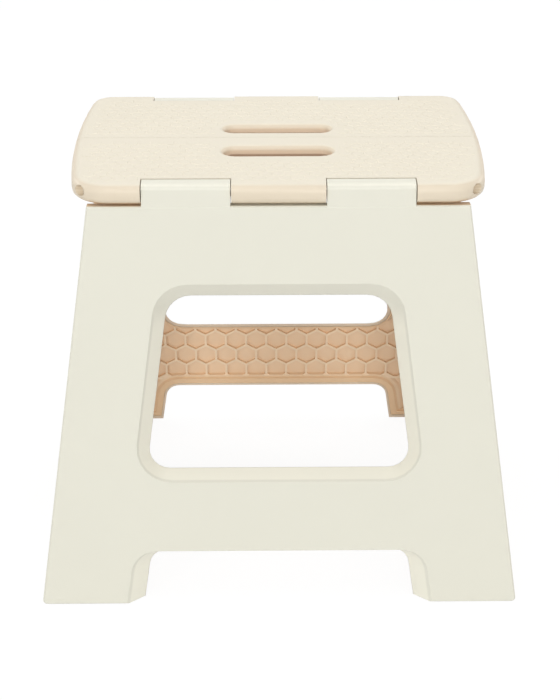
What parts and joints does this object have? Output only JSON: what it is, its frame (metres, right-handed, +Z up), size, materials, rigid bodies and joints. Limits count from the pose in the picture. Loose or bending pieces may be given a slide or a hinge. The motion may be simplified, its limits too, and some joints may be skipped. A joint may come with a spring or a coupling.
{
  "type": "folding stool",
  "caption": "Folding plastic step stool: hinged seat with handle slots on splayed leg panels with honeycomb inner trays and side walls that fold inwards.",
  "frame": {"origin": "on the floor, under the middle of the seat", "axes": "+X along the seat, -Y towards the front leg seen in the picture, +Z up"},
  "size_m": [0.3578, 0.2936, 0.32],
  "materials": {
    "cream_plastic": "satin moulded",
    "beige_plastic": "fine hexagon texture",
    "tan_plastic": "satin moulded",
    "hinge_steel": "bright drawn",
    "grip_rubber": "matt"
  },
  "bodies": {
    "back_leg": {"back_leg_shell": "cream_plastic", "back_leg_tray": "tan_plastic", "back_left_foot_pad": "grip_rubber", "back_right_foot_pad": "grip_rubber", "left_back_side_pin": "hinge_steel", "right_back_side_pin": "hinge_steel"},
    "seat_back": {"seat_back_half": "beige_plastic", "back_hinge_pin": "hinge_steel", "centre_hinge_pin_left": "hinge_steel", "centre_hinge_pin_right": "hinge_steel"},
    "seat_front": {"seat_front_half": "beige_plastic", "front_hinge_pin": "hinge_steel"},
    "front_leg": {"front_leg_shell": "cream_plastic", "front_leg_tray": "tan_plastic", "front_left_foot_pad": "grip_rubber", "front_right_foot_pad": "grip_rubber", "left_front_side_pin": "hinge_steel", "right_front_side_pin": "hinge_steel"},
    "side_left_front": {"left_front_side": "tan_plastic", "left_fold_pin": "hinge_steel"},
    "side_left_back": {"left_back_side": "tan_plastic"},
    "side_right_front": {"right_front_side": "tan_plastic"},
    "side_right_back": {"right_back_side": "tan_plastic", "right_fold_pin": "hinge_steel"}
  },
  "joints": [
    {"name": "back_leg_hinge", "type": "hinge", "parent": "back_leg", "child": "seat_back", "pos_m": [0, 0.088, 0.3135], "axis": [-1, 0, 0], "range_deg": [0, 80]},
    {"name": "seat_centre_fold", "type": "hinge", "parent": "seat_back", "child": "seat_front", "pos_m": [0, 0, 0.30448], "axis": [1, 0, 0], "range_deg": [0, 176]},
    {"name": "front_leg_hinge", "type": "hinge", "parent": "seat_front", "child": "front_leg", "pos_m": [0, -0.088, 0.3135], "axis": [-1, 0, 0], "range_deg": [0, 80]},
    {"name": "left_front_side_fold", "type": "hinge", "parent": "front_leg", "child": "side_left_front", "pos_m": [-0.12375, -0.08011, 0.3122], "axis": [-0.142, -0.1608, -0.9767], "range_deg": [0, 92]},
    {"name": "right_front_side_fold", "type": "hinge", "parent": "front_leg", "child": "side_right_front", "pos_m": [0.12375, -0.08011, 0.3122], "axis": [-0.142, 0.1608, 0.9767], "range_deg": [0, 92]},
    {"name": "left_back_side_fold", "type": "hinge", "parent": "back_leg", "child": "side_left_back", "pos_m": [-0.12375, 0.08011, 0.3122], "axis": [0.142, -0.1608, 0.9767], "range_deg": [0, 92]},
    {"name": "right_back_side_fold", "type": "hinge", "parent": "back_leg", "child": "side_right_back", "pos_m": [0.12375, 0.08011, 0.3122], "axis": [0.142, 0.1608, -0.9767], "range_deg": [0, 92]}
  ],
  "couplings": [
    {"joint": "back_leg_hinge", "follows": "seat_centre_fold", "ratio": 0.45257},
    {"joint": "front_leg_hinge", "follows": "seat_centre_fold", "ratio": 0.45257},
    {"joint": "left_front_side_fold", "follows": "seat_centre_fold", "ratio": 0.51704},
    {"joint": "right_front_side_fold", "follows": "seat_centre_fold", "ratio": 0.51704},
    {"joint": "left_back_side_fold", "follows": "seat_centre_fold", "ratio": 0.51704},
    {"joint": "right_back_side_fold", "follows": "seat_centre_fold", "ratio": 0.51704}
  ]
}
